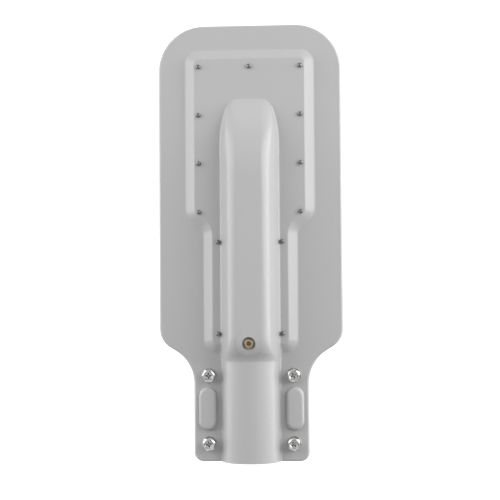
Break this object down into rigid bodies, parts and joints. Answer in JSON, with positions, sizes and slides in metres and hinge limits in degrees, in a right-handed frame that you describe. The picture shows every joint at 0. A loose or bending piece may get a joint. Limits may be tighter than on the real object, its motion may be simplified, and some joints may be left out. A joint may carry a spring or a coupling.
{
  "type": "led street light head",
  "caption": "Flat LED street light head with a raised driver tunnel, a half-round pole socket with two clamp straps, and a lens plate underneath.",
  "frame": {"origin": "on the axis of the pole socket, in the plane of its mouth; the underside of the rim plate is the plane Z = 0", "axes": "+Y along the head away from the pole, +Z towards the sky, +X across; the lamps shine towards -Z"},
  "size_m": [0.2, 0.476, 0.0754],
  "materials": {
    "light_grey_paint": "satin light grey powder coat",
    "zinc_steel": "bright zinc-plated steel",
    "strap_steel": "galvanised flat bar",
    "brass": "plain brass",
    "seal_rubber": "matt black silicone",
    "thermal_grey": "matt grey filled sheet",
    "board_white": "white solder mask",
    "lamp_yellow": "yellow phosphor under clear resin",
    "clear_polycarbonate": "clear moulded polycarbonate",
    "driver_aluminium": "matt aluminium case",
    "dark_plastic": "black nylon",
    "pale_nylon": "natural nylon",
    "lead_brown": "brown insulation",
    "lead_blue": "blue insulation",
    "lead_green": "green insulation",
    "lead_red": "red insulation",
    "lead_black": "black insulation"
  },
  "bodies": {
    "root": {"housing": "light_grey_paint", "carrier_plate": "light_grey_paint", "carrier_gasket": "seal_rubber", "carrier_screws": "zinc_steel", "thermal_sheet": "thermal_grey", "led_board": "board_white", "led_emitters": "lamp_yellow", "lens_plate": "clear_polycarbonate", "lens_gasket": "seal_rubber", "lens_screws": "zinc_steel", "driver_case": "driver_aluminium", "driver_screws": "zinc_steel", "surge_protector": "dark_plastic", "surge_screws": "zinc_steel", "terminal_block": "pale_nylon", "terminal_clamp_screws": "zinc_steel", "terminal_fixing_screws": "zinc_steel", "earth_lug": "zinc_steel", "lug_screw": "zinc_steel", "lead_live": "lead_brown", "lead_neutral": "lead_blue", "lead_surge_live": "lead_brown", "lead_surge_neutral": "lead_blue", "lead_earth": "lead_green", "lead_led_positive": "lead_red", "lead_led_negative": "lead_black", "board_grommet": "seal_rubber", "gland_body": "dark_plastic", "gland_seal": "seal_rubber", "gland_cap": "dark_plastic", "gland_locknut": "dark_plastic", "earth_screw": "brass", "earth_washer": "brass", "earth_nut": "brass", "clamp_flat_washers": "zinc_steel", "clamp_spring_washers": "zinc_steel", "clamp_bolts": "zinc_steel", "clamp_nut_washers": "zinc_steel", "clamp_nuts": "zinc_steel", "clamp_strap_mouth": "strap_steel", "clamp_strap_inner": "strap_steel"}
  },
  "joints": []
}
